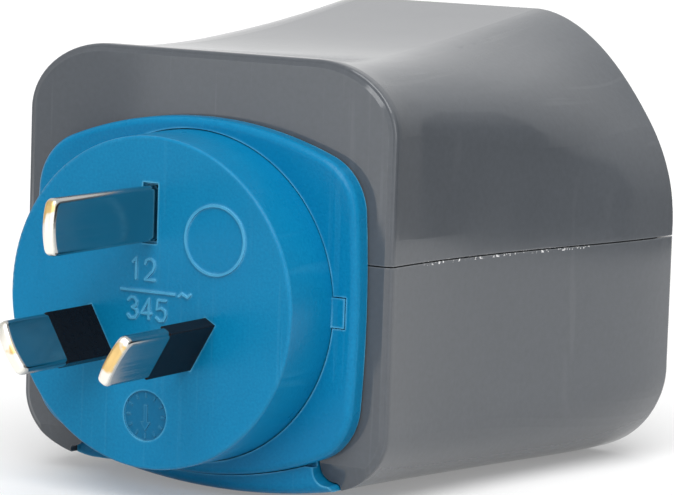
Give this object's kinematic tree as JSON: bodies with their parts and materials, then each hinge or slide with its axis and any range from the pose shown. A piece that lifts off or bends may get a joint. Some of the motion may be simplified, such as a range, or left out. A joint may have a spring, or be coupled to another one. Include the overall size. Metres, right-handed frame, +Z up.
{
  "type": "travel socket adapter",
  "caption": "Mains travel adapter: flared two-shell body with a shuttered rectangular-pin socket at the back and a slide-off round plug head with canted flat pins.",
  "frame": {"origin": "centre of the plug's pin pattern on the front face of the plug disc", "axes": "+Z up towards the earth pin, +Y back through the body to the socket, +X right as seen from the front"},
  "size_m": [0.0658, 0.0886, 0.0549],
  "materials": {
    "grey_shell": "polished mid-grey moulding",
    "socket_plastic": "satin grey moulding",
    "blue_plastic": "semi-gloss blue moulding",
    "pin_plating": "polished nickel plate",
    "pin_sleeve": "glossy black sleeve",
    "contact_brass": "stamped strip",
    "screw_steel": "zinc plated",
    "spring_steel": "drawn wire",
    "inner_plastic": "natural moulding",
    "shutter_plastic": "matt moulding"
  },
  "bodies": {
    "adapter_body": {"upper_shell": "grey_shell", "lower_shell": "grey_shell", "socket_face": "socket_plastic", "shell_screws": "screw_steel", "line_strap": "contact_brass", "neutral_strap": "contact_brass", "earth_strap": "contact_brass", "line_clip": "contact_brass", "neutral_clip": "contact_brass", "earth_clip": "contact_brass", "fork_block": "inner_plastic", "socket_block": "inner_plastic", "shutter_guide": "inner_plastic", "shutter_spring": "spring_steel", "guide_screws": "screw_steel"},
    "plug_head": {"plug_disc": "blue_plastic", "plug_plate": "blue_plastic", "head_carrier": "blue_plastic", "earth_pin": "pin_plating", "line_pin": "pin_plating", "neutral_pin": "pin_plating", "line_sleeve": "pin_sleeve", "neutral_sleeve": "pin_sleeve", "earth_blade": "contact_brass", "line_blade": "contact_brass", "neutral_blade": "contact_brass", "head_screws": "screw_steel"},
    "shutter_slide": {"shutter": "shutter_plastic"}
  },
  "joints": [
    {"name": "head_slide", "type": "slide", "parent": "adapter_body", "child": "plug_head", "axis": [0, 0, -1], "range_m": [0, 0.038]},
    {"name": "shutter_drop", "type": "slide", "parent": "adapter_body", "child": "shutter_slide", "axis": [0, 0, -1], "range_m": [0, 0.0053], "stiffness_N_per_m": 150, "springref_m": -0.002, "deforming": ["shutter_spring"]}
  ]
}
